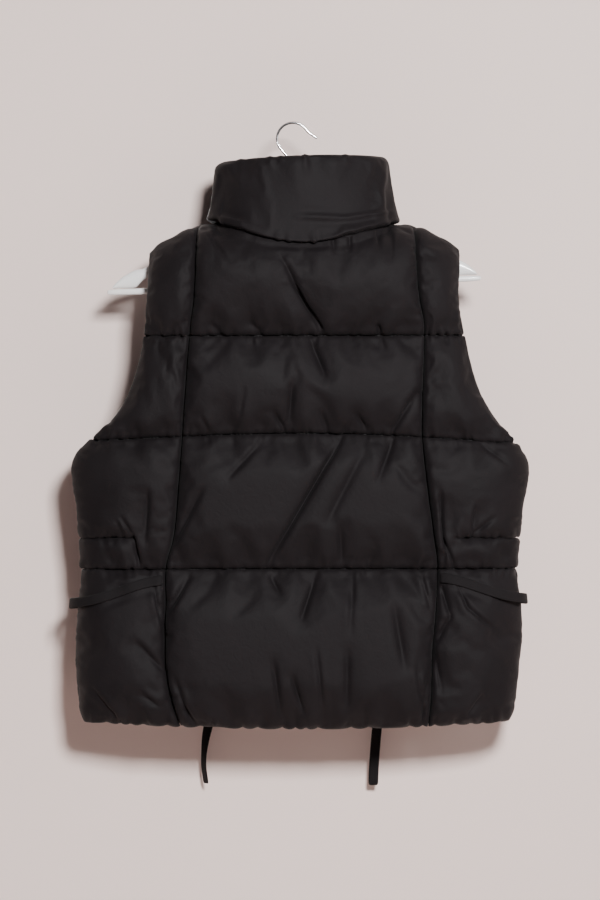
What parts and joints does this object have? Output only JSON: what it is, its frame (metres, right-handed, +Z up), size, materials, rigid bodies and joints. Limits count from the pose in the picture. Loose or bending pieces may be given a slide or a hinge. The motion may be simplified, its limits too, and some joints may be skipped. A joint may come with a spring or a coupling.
{
  "type": "puffer vest on a clothes hanger",
  "caption": "Padded sleeveless vest with a stand collar, quilted rows, a front zip and waist ties, hanging on a moulded clothes hanger.",
  "frame": {"origin": "underside of the crown of the hanger's hook, where it hangs on a pin or rail", "axes": "+Z up, -Y out of the back of the vest, +Y out of its front with the zip, +X towards the wearer's right"},
  "size_m": [0.5331, 0.1405, 0.7834],
  "materials": {
    "shell": "near-black woven polyester, matte to satin, over soft padding",
    "tie_tape": "the same cloth, folded and stitched flat",
    "zip_tape": "black herringbone tape",
    "zip_teeth": "black moulded teeth",
    "zip_slider": "black enamelled die casting",
    "hanger_plastic": "white moulded plastic",
    "hook_steel": "bright plated steel wire"
  },
  "bodies": {
    "garment": {"back_side_left": "shell", "back_centre": "shell", "back_side_right": "shell", "front_left": "shell", "front_right": "shell", "collar": "shell", "tie_left": "tie_tape", "tie_right": "tie_tape", "tie_loop_left": "tie_tape", "tie_loop_right": "tie_tape", "zip_tape_left": "zip_tape", "zip_tape_right": "zip_tape", "zip_teeth": "zip_teeth", "zip_slider": "zip_slider", "hanger_arms": "hanger_plastic", "hanger_bar": "hanger_plastic", "hanger_hook": "hook_steel"},
    "pull_tab": {"zip_pull": "zip_slider"}
  },
  "joints": [
    {"name": "pull_tab_hinge", "type": "hinge", "parent": "garment", "child": "pull_tab", "pos_m": [0.012, 0.05126, -0.05391], "axis": [1, 0, 0], "range_deg": [0, 150]}
  ]
}
